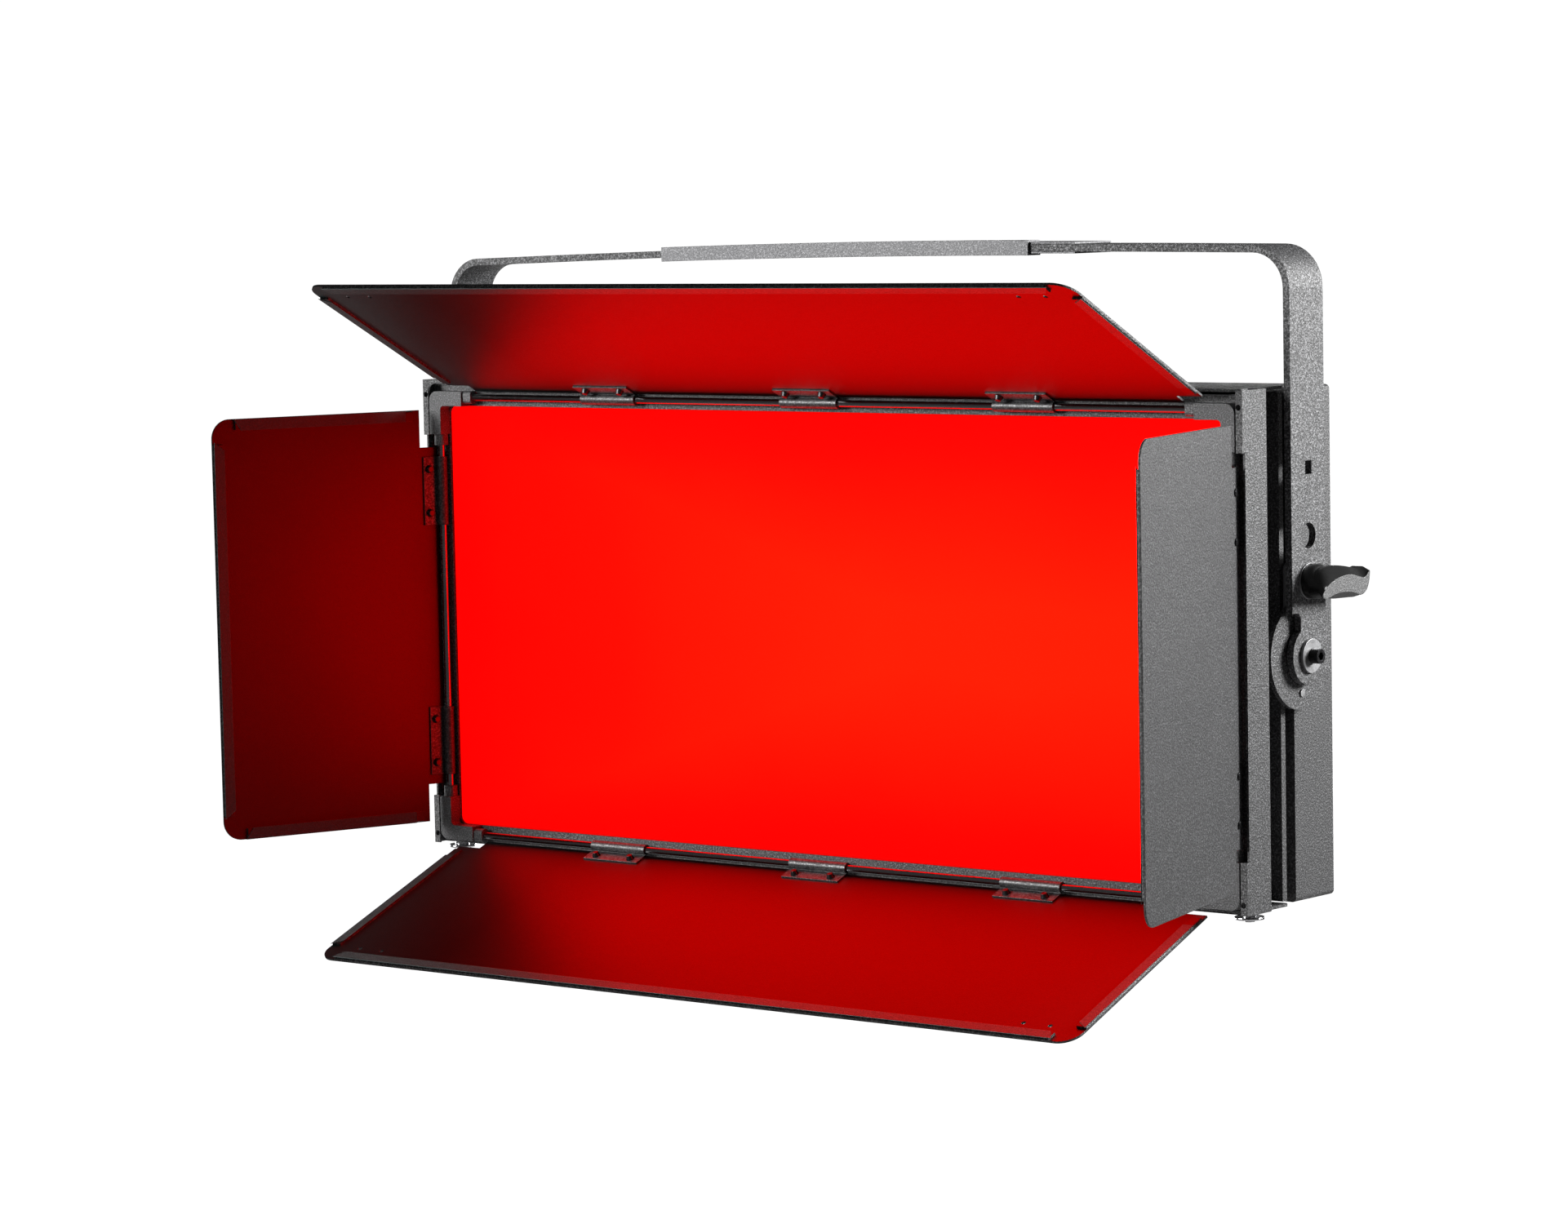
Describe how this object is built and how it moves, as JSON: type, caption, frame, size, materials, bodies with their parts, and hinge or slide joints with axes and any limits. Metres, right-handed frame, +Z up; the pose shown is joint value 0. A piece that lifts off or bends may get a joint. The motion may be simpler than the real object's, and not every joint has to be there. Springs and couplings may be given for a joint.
{
  "type": "led panel light",
  "caption": "Rectangular LED soft panel hung in a bowed yoke, with hinged barn doors, a tilt lock lever and a rear control panel.",
  "frame": {"origin": "middle of the yoke bar's hanging bolt hole, at the bar's mid-thickness", "axes": "+Z up along the hanging bolt, +X along the bar to the side with the tilt lock lever, the light faces -Y"},
  "size_m": [0.8095, 0.3319, 0.502],
  "materials": {
    "yoke_paint": "fine textured powder coat, satin",
    "sleeve_paint": "powder coat, satin",
    "frame_paint": "fine textured powder coat",
    "body_paint": "fine textured powder coat",
    "cover_paint": "fine textured powder coat",
    "door_paint": "fine textured powder coat",
    "clip_paint": "satin",
    "panel_paint": "satin",
    "bracket_plastic": "fine grain",
    "handle_plastic": "satin",
    "knob_plastic": "satin",
    "switch_plastic": "gloss",
    "power_plastic": "satin",
    "data_metal": "satin black",
    "button_rubber": "matt",
    "pad_rubber": "matt",
    "display_glass": "gloss",
    "diffuser_acrylic": "milky sheet, lit red",
    "diffuser_rim": "matt white",
    "mixing_white": "matt white",
    "board": "satin",
    "emitter": "gloss",
    "sink_metal": "satin",
    "chassis_metal": "mill finish",
    "supply_metal": "satin",
    "rod_steel": "bright drawn",
    "screw_steel": "zinc plated",
    "shoe_steel": "dull",
    "washer_steel": "bright",
    "dark_screw": "blackened",
    "door_screw": "blackened",
    "latch_metal": "bright",
    "pin_brass": "bright",
    "eye_steel": "satin",
    "boss_steel": "dark",
    "disc_steel": "turned",
    "block_metal": "dark anodised"
  },
  "bodies": {
    "yoke": {"yoke_strap": "yoke_paint", "sleeve_rear": "sleeve_paint", "sleeve_front": "sleeve_paint", "sleeve_rivets": "sleeve_paint", "clamp_shoe": "shoe_steel", "lock_washer": "washer_steel"},
    "lock_lever": {"lock_screw": "screw_steel", "lock_handle": "handle_plastic"},
    "head": {"bracket_top_left": "bracket_plastic", "bracket_top_right": "bracket_plastic", "bracket_bottom_left": "bracket_plastic", "bracket_bottom_right": "bracket_plastic", "front_frame": "frame_paint", "hinge_rods": "rod_steel", "diffuser": "diffuser_acrylic", "diffuser_frame": "diffuser_rim", "mixing_box": "mixing_white", "led_board": "board", "led_emitters": "emitter", "heat_sink": "sink_metal", "chassis_plate": "chassis_metal", "power_supply": "supply_metal", "driver_board": "board", "housing": "body_paint", "end_plates": "body_paint", "rear_cover": "cover_paint", "rear_screws": "dark_screw", "control_panel": "panel_paint", "display": "display_glass", "control_board": "board", "power_sockets": "power_plastic", "data_sockets": "data_metal", "socket_pins": "pin_brass", "safety_eye": "eye_steel", "pivot_boss_right": "boss_steel", "friction_disc": "disc_steel", "friction_pad": "pad_rubber", "pivot_block_left": "block_metal", "pivot_hardware": "washer_steel"},
    "barn_door_top": {"door_top": "door_paint", "door_top_clips": "clip_paint", "door_top_screws": "door_screw"},
    "barn_door_bottom": {"door_bottom": "door_paint", "door_bottom_clips": "clip_paint", "door_bottom_screws": "door_screw"},
    "barn_door_left": {"door_left": "door_paint", "door_left_clips": "clip_paint", "door_left_screws": "door_screw"},
    "barn_door_right": {"door_right": "door_paint", "door_right_clips": "clip_paint", "door_right_screws": "door_screw"},
    "latch_left": {"latch_knob_left": "latch_metal"},
    "latch_right": {"latch_knob_right": "latch_metal"},
    "key_1": {"button_1": "button_rubber"},
    "key_2": {"button_2": "button_rubber"},
    "key_3": {"button_3": "button_rubber"},
    "key_4": {"button_4": "button_rubber"},
    "encoder": {"encoder_knob": "knob_plastic"},
    "rocker": {"power_switch": "switch_plastic"}
  },
  "joints": [
    {"name": "head_tilt", "type": "hinge", "parent": "yoke", "child": "head", "pos_m": [0.01975, 0, -0.2699], "axis": [1, 0, 0], "range_deg": [-10, 120]},
    {"name": "lock_turn", "type": "hinge", "parent": "yoke", "child": "lock_lever", "pos_m": [0.37225, 0, -0.2204], "axis": [1, 0, 0], "range_deg": [0, 120]},
    {"name": "door_top_hinge", "type": "hinge", "parent": "head", "child": "barn_door_top", "pos_m": [0.01975, -0.0819, -0.1037], "axis": [-1, 0, 0], "range_deg": [-115.6, 42.4]},
    {"name": "door_bottom_hinge", "type": "hinge", "parent": "head", "child": "barn_door_bottom", "pos_m": [0.01975, -0.0819, -0.4251], "axis": [1, 0, 0], "range_deg": [-106.1, 47.9]},
    {"name": "door_left_hinge", "type": "hinge", "parent": "head", "child": "barn_door_left", "pos_m": [-0.32795, -0.0813, -0.2644], "axis": [0, 0, 1], "range_deg": [-11.8, 108.2]},
    {"name": "door_right_hinge", "type": "hinge", "parent": "head", "child": "barn_door_right", "pos_m": [0.36745, -0.0813, -0.2644], "axis": [0, 0, -1], "range_deg": [-15.4, 104.6]},
    {"name": "latch_left_turn", "type": "hinge", "parent": "head", "child": "latch_left", "pos_m": [-0.32925, -0.069, -0.4344], "axis": [0, 0, 1], "range_deg": [0, 90]},
    {"name": "latch_right_turn", "type": "hinge", "parent": "head", "child": "latch_right", "pos_m": [0.36875, -0.069, -0.4344], "axis": [0, 0, 1], "range_deg": [0, 90]},
    {"name": "key_1_press", "type": "slide", "parent": "head", "child": "key_1", "axis": [0, -1, 0], "range_m": [0, 0.001], "stiffness_N_per_m": 500, "springref_m": -0.0005},
    {"name": "key_2_press", "type": "slide", "parent": "head", "child": "key_2", "axis": [0, -1, 0], "range_m": [0, 0.001], "stiffness_N_per_m": 500, "springref_m": -0.0005},
    {"name": "key_3_press", "type": "slide", "parent": "head", "child": "key_3", "axis": [0, -1, 0], "range_m": [0, 0.001], "stiffness_N_per_m": 500, "springref_m": -0.0005},
    {"name": "key_4_press", "type": "slide", "parent": "head", "child": "key_4", "axis": [0, -1, 0], "range_m": [0, 0.001], "stiffness_N_per_m": 500, "springref_m": -0.0005},
    {"name": "encoder_turn", "type": "hinge", "parent": "head", "child": "encoder", "pos_m": [0.26975, 0.053, -0.3744], "axis": [0, 1, 0], "continuous": true},
    {"name": "rocker_turn", "type": "hinge", "parent": "head", "child": "rocker", "pos_m": [0.08975, 0.0505, -0.3744], "axis": [1, 0, 0], "range_deg": [0, 8]}
  ]
}
